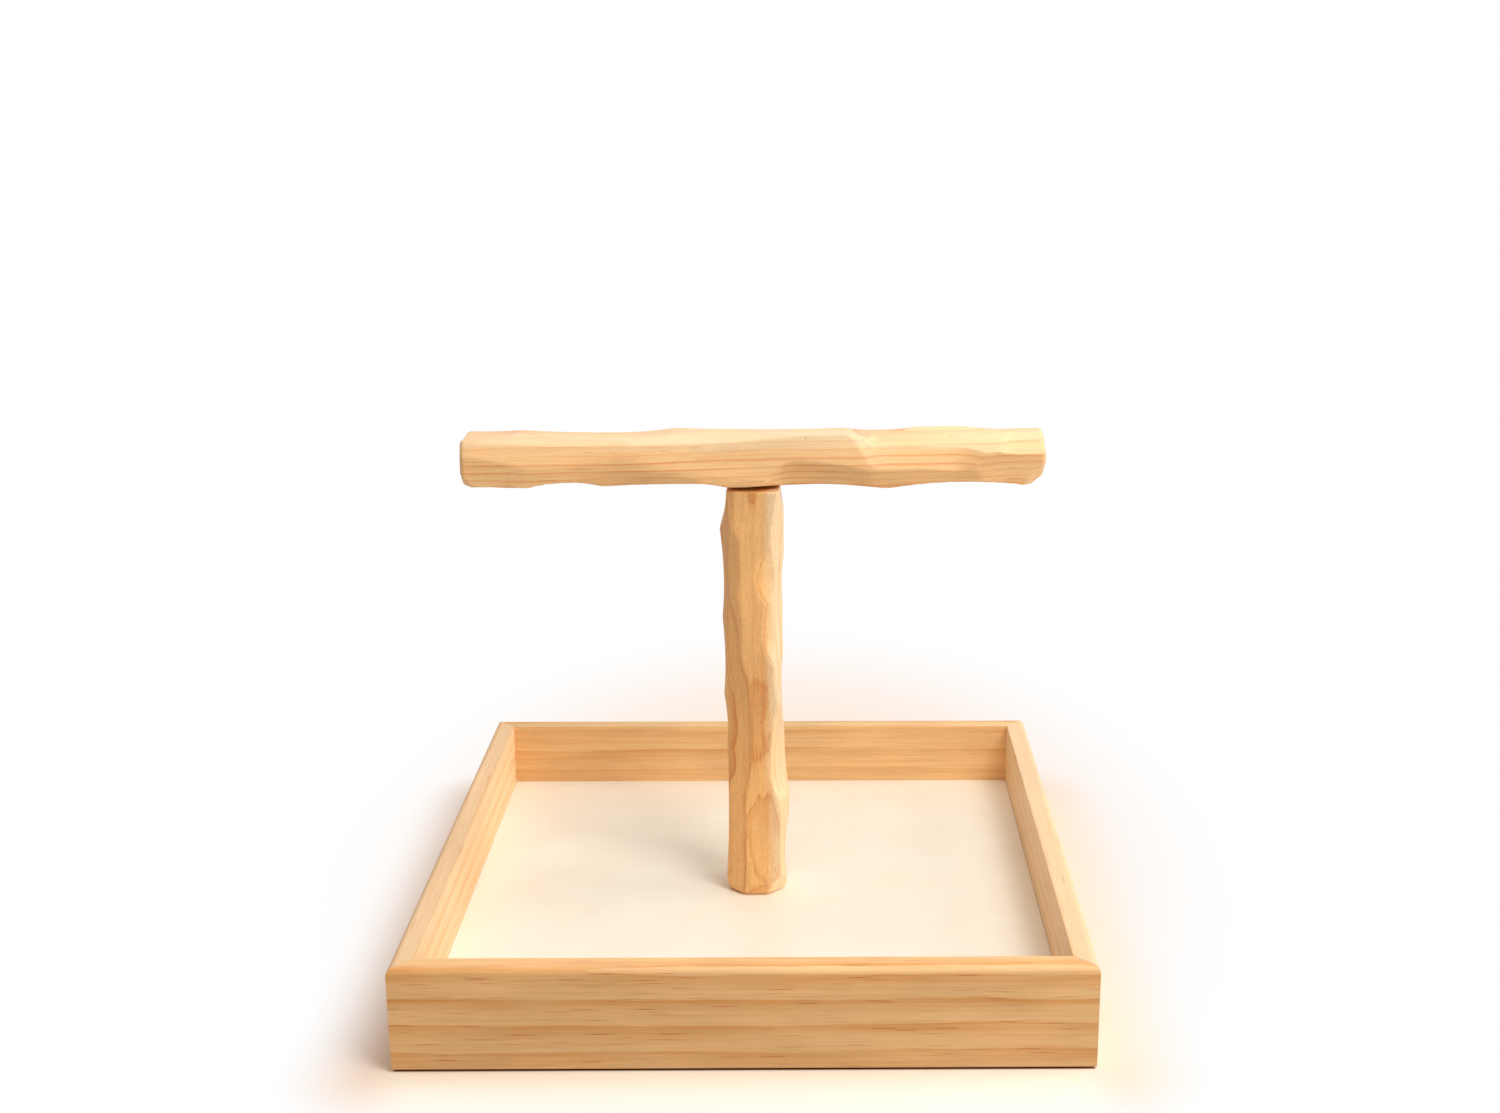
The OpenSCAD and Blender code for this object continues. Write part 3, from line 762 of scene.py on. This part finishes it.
def crossbar(material):
    """The carved crossbar, flat where it sits on the post, with a hole for the insert."""
    places, radii = carved_radii(BAR_STROKES, BAR_STOCK, BAR_LENGTH, BAR_EASE, BAR_EASE)
    turn = np.radians(angles_of(STICK_SIDES))
    x = np.broadcast_to((bar_low.x + places)[:, None], radii.shape)
    y = AXIS_Y + radii * np.cos(turn)
    z = BAR_Z + radii * np.sin(turn)
    seated = np.abs(x - AXIS_X) < SEAT_LENGTH / 2
    z = np.where(seated, np.maximum(z, SEAT_Z), z)
    piece = new_object("carved_crossbar", *skin(np.stack([x, y, z], axis=2)))
    insert_hole, bolt_hole = INSERT_RADIUS + THREAD_GAP, BOLT_RADIUS + THREAD_GAP
    insert_top = SEAT_Z + INSERT_SINK + INSERT_LENGTH
    bolt_end = max(insert_top, hanger_high.z) + HOLE_SPARE
    profile = [(insert_hole, SEAT_Z - HOLE_SPARE), (insert_hole, insert_top),
               (bolt_hole, insert_top), (bolt_hole, bolt_end)]
    cut(piece, turned("seat_hole", profile))
    finish_piece(piece, material, "crossbar", "crossbar")


def thread_profile(radius, depth, low, high, chamfer, pitch=THREAD_PITCH, sides=BOLT_SIDES):
    """(radius, z) rings of a right-hand thread from low to high, with chamfered ends."""
    turn = angles_of(sides) / 360
    rings = []
    for z in np.linspace(low, high, max(2, round((high - low) / pitch * RINGS_IN_A_TURN))):
        share = np.mod(z / pitch - turn, 1)
        # Straight flanks between a narrow flat crest and a wider flat root
        groove = np.clip(1.25 * np.abs(2 * share - 1) - 0.12, 0, 1)
        end = max(0.0, chamfer - min(z - low, high - z))
        rings.append((np.minimum(radius - depth * groove, radius - end), z))
    return rings


def hexagon(circle):
    """A hexagon's outline with flats to the front and rear, its chamfer's circle and height."""
    from_flat = np.mod(angles_of(BOLT_SIDES), 60) - 30
    outline = HEX_ACROSS / 2 / np.cos(np.radians(from_flat))
    chamfered = HEX_ACROSS / 2 * circle
    return outline, chamfered, (outline - chamfered) * math.tan(math.radians(HEX_CHAMFER))


def bolts(steel):
    """The base bolt with its hexagonal head, and the hanger bolt that stands out of the post."""
    head, chamfered, lift = hexagon(HEAD_CIRCLE)
    profile = [(chamfered, bolt_low.z), (head, bolt_low.z + lift), (head, HEAD_TOP),
               (BOLT_RADIUS, HEAD_TOP)]
    profile += thread_profile(BOLT_RADIUS, THREAD_DEPTH, RECESS_TOP, bolt_high.z, THREAD_CHAMFER)
    base = turned("threaded_base_bolt", profile, BOLT_SIDES)
    finish_piece(base, steel, "tray", "base_bolt")

    profile = thread_profile(BOLT_RADIUS, SCREW_DEPTH, hanger_low.z, SHANK_LOW, SCREW_POINT,
                             SCREW_PITCH)
    profile += thread_profile(BOLT_RADIUS, THREAD_DEPTH, SHANK_HIGH, hanger_high.z, THREAD_CHAMFER)
    hanger = turned("threaded_hanger_bolt", profile, BOLT_SIDES)
    finish_piece(hanger, steel, "post", "hanger_bolt")


def nut(steel):
    """The hexagonal nut, chamfered on both faces, with an eased bore."""
    outline, chamfered, lift = hexagon(NUT_CIRCLE)
    bore, ease = BOLT_RADIUS + HOLE_GAP, 0.5 * MM
    profile = [(bore + ease, nut_low.z), (chamfered, nut_low.z), (outline, nut_low.z + lift),
               (outline, nut_high.z - lift), (chamfered, nut_high.z), (bore + ease, nut_high.z),
               (bore, nut_high.z - ease), (bore, nut_low.z + ease)]
    piece = turned("hex_nut", profile, BOLT_SIDES, closed=True)
    finish_piece(piece, steel, "tray", "base_nut")


def washer(name, node, steel):
    """A flat washer with eased edges."""
    low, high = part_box(node)
    outer, bore, ease = (high.x - low.x) / 2, BOLT_RADIUS + HOLE_GAP, 0.2 * MM
    profile = [(bore + ease, low.z), (outer - ease, low.z), (outer, low.z + ease),
               (outer, high.z - ease), (outer - ease, high.z), (bore + ease, high.z),
               (bore, high.z - ease), (bore, low.z + ease)]
    piece = turned(name, profile, WASHER_SIDES, closed=True)
    finish_piece(piece, steel, "tray", node)


def insert(name, node, body, brass):
    """A brass insert: a knife thread outside, and the bolt's thread as grooves inside."""
    low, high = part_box(node)
    profile = thread_profile(INSERT_RADIUS, KNIFE_DEPTH, low.z, high.z, KNIFE_CHAMFER,
                             KNIFE_PITCH, ROUND_SIDES)
    turn = angles_of(ROUND_SIDES) / 360
    bore = BOLT_RADIUS + THREAD_GAP
    for z in np.linspace(high.z, low.z, INSERT_RINGS):
        groove = INNER_THREAD_DEPTH * np.abs(2 * np.mod(z / THREAD_PITCH - turn, 1) - 1)
        flare = max(0.0, INSERT_FLARE - min(z - low.z, high.z - z))
        profile.append((bore + np.maximum(groove, flare), z))
    piece = turned(name, profile, closed=True)
    finish_piece(piece, brass, body, node)


def foot_pad(side, material):
    """A round rubber pad with a rounded lower edge."""
    node = "foot_pad_" + side
    low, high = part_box(node)
    radius, ease = (high.x - low.x) / 2, 0.5 * MM
    profile = arc((radius - ease, low.z + ease), ease, -90, 0, 5) + [(radius, high.z)]
    middle = ((low.x + high.x) / 2, (low.y + high.y) / 2)
    piece = turned("rubber_" + node, profile, middle=middle)
    finish_piece(piece, material, "tray", node)


def floor_material():
    """Pale paper that keeps the tray's shadow, with painted shade beside, behind and under the
    tray, and fades to white further out.
    """
    s = new_material("paper_floor")
    place = s.node("NewGeometry").outputs["Position"]
    beyond = s.vector("SUBTRACT", s.vector("ABSOLUTE", place), (HALF_WIDTH, HALF_DEPTH, 1))
    beyond_x, beyond_y = s.axis(beyond, "X"), s.axis(beyond, "Y")
    far = s.spread(s.vector("LENGTH", s.vector("MAXIMUM", beyond)), 0.0, SHADOW_REACH)
    seen = s.seen()

    # Painted shade: the paper is painted darker and warmer beside and behind the tray than in front
    # of it
    behind = s.spread(s.axis(place, "Y"), -HALF_DEPTH - 0.04, -HALF_DEPTH + 0.06)
    warm = s.math("MAXIMUM", behind, s.spread(beyond_x, -0.02, 0.02))
    near_tone = s.mix(warm, PAPER_FRONT, PAPER_PAINTED_SHADE)
    far_tone = s.mix(warm, GLOW_FRONT, GLOW_PAINTED_SHADE)
    # Painted shade: just under the tray's edge the paper is painted dark brown, for the shade in
    # the gap under the rails
    under = s.spread(s.math("MAXIMUM", beyond_x, beyond_y), -0.002, 0.0, 1.0, 0.0)
    near_tone = s.mix(under, near_tone, PAINTED_SHADE_UNDER_RAIL)
    paper = s.node("BsdfDiffuse", {"Color": s.mix(seen, LIT_PAPER, near_tone)})

    # Painted shade: inside an oval patch round the tray the glowing paper is darker and warmer;
    # outside it, white
    from_middle = s.vector("DIVIDE", s.vector("SUBTRACT", place, PATCH_MIDDLE), PATCH_RADII)
    outside_patch = s.spread(s.vector("LENGTH", from_middle), *PATCH_FADE)
    glow = s.node("Emission", {"Color": s.mix(outside_patch, far_tone, WHITE), "Strength": 1.0})
    both = s.node("MixShader", {0: s.math("MULTIPLY", far, seen), 1: paper.outputs[0],
                                2: glow.outputs[0]})
    s.node("OutputMaterial", {"Surface": both.outputs[0]})
    return s.holder


def add_floor():
    """A level sheet under the tray, far larger than the view."""
    size = FLOOR_REACH
    floor = new_object("floor", [(-size, -size, 0), (size, -size, 0), (size, size, 0),
                                 (-size, size, 0)], [(0, 1, 2, 3)])
    floor.data.materials.append(floor_material())


def add_lamp(name, azimuth, height, distance, size, energy):
    """A square lamp aimed at the tray."""
    lamp = bpy.data.lights.new(name, "AREA")
    lamp.shape = "SQUARE"
    lamp.size = size
    lamp.energy = energy
    lamp.color = LAMP_TONE
    holder = bpy.data.objects.new(name, lamp)
    around, up = math.radians(azimuth), math.radians(height)
    level = math.cos(up)
    towards = Vector((level * math.cos(around), level * math.sin(around), math.sin(up)))
    holder.location = towards * distance
    holder.rotation_euler = towards.to_track_quat("Z", "Y").to_euler()
    bpy.context.scene.collection.objects.link(holder)


def add_lights():
    """A dim warm room that the camera sees as white, and the lamps."""
    world = bpy.data.worlds.new("studio")
    bpy.context.scene.world = world
    s = Nodes(world)
    room = s.node("Background", {"Color": ROOM_TONE, "Strength": ROOM_STRENGTH})
    white = s.node("Background", {"Color": WHITE, "Strength": 1.0})
    both = s.node("MixShader", {0: s.seen(), 1: room.outputs[0], 2: white.outputs[0]})
    s.node("OutputWorld", {"Surface": both.outputs[0]})
    for name, settings in LAMPS.items():
        add_lamp(name, *settings)


def dress(nodes, material):
    """Gives CAD nodes that stay as they are their finish."""
    for node in nodes:
        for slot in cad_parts[node].material_slots:
            slot.material = material


bpy.context.scene.view_settings.view_transform = "Standard"
set_camera()
add_floor()
add_lights()

# The rails, counterclockwise from the front, and the sticks
front_wood = wood("front_rail_wood", "x", (17, -120), 9.4, FRONT_PALE, FRONT_AMBER,
                  start=-0.42, wave=2.5, band=0.60, dashes=1.0, seed=3)
rail("front_rail", 0, front_wood, gap_high=FRONT_RIGHT_MITRE_GAP)
right_wood = wood("right_rail_wood", "y", (150, -60), 11.0, RIGHT_PALE, RIGHT_AMBER,
                  wave=2.0, dashes=0.3, drift=0.03, seed=41)
rail("right_rail", 90, right_wood, gap_low=FRONT_RIGHT_MITRE_GAP)
rear_wood = wood("rear_rail_wood", "x", (260, -150), 15.0, REAR_PALE, REAR_AMBER,
                 wave=6.0, band=0.50, dashes=0.5, seed=87)
rail("rear_rail", 180, rear_wood)
# Painted light: the left rail is painted paler towards its rear, where more light falls
left_wood = wood("left_rail_wood", "y", (-120, 190), 12.0, LEFT_PALE, LEFT_AMBER,
                 wave=2.0, band=0.6, dashes=0.3, drift=0.02, painted_light_slope=0.08, gloss=0.15, seed=133)
rail("left_rail", 270, left_wood)
# Painted light: the post's sapwood side faces the lamps on the right
post(wood("post_wood", "z", (8, 60), 4.4, POST_PALE, POST_AMBER, wave=3.0, ripple=1.8,
          band=0.26, dashes=0.2, specks=0.1, fuzz=0.09, sap_and_light=(-15, 11, 18), gloss=0.5, seed=211))
# Painted light: the crossbar's pale sapwood lies on its lit top
crossbar(wood("crossbar_wood", "x", (10, 230), 4.6, BAR_PALE, BAR_AMBER, tilt=(1.2, 0),
              wave=1.5, band=0.32, dashes=0.2, specks=0.3, fuzz=0.025, sap_and_light=(110, 306, 314),
              gloss=0.5, seed=307))

steel = metal("zinc_steel", STEEL_BRIGHT, STEEL_DULL, 0.34)
brass = metal("machined_brass", BRASS_BRIGHT, BRASS_DULL, 0.32)
bolts(steel)
nut(steel)
washer("wide_washer", "base_washer", steel)
washer("small_washer", "top_washer", steel)
insert("threaded_post_insert", "post_insert", "post_link", brass)
insert("threaded_crossbar_insert", "crossbar_insert", "crossbar_link", brass)
pad_rubber = rubber()
for side in ("front_left", "front_right", "rear_left", "rear_right"):
    foot_pad(side, pad_rubber)
dress(["corner_brads", "board_brads"], steel)
dress(["base_board"], white_board())
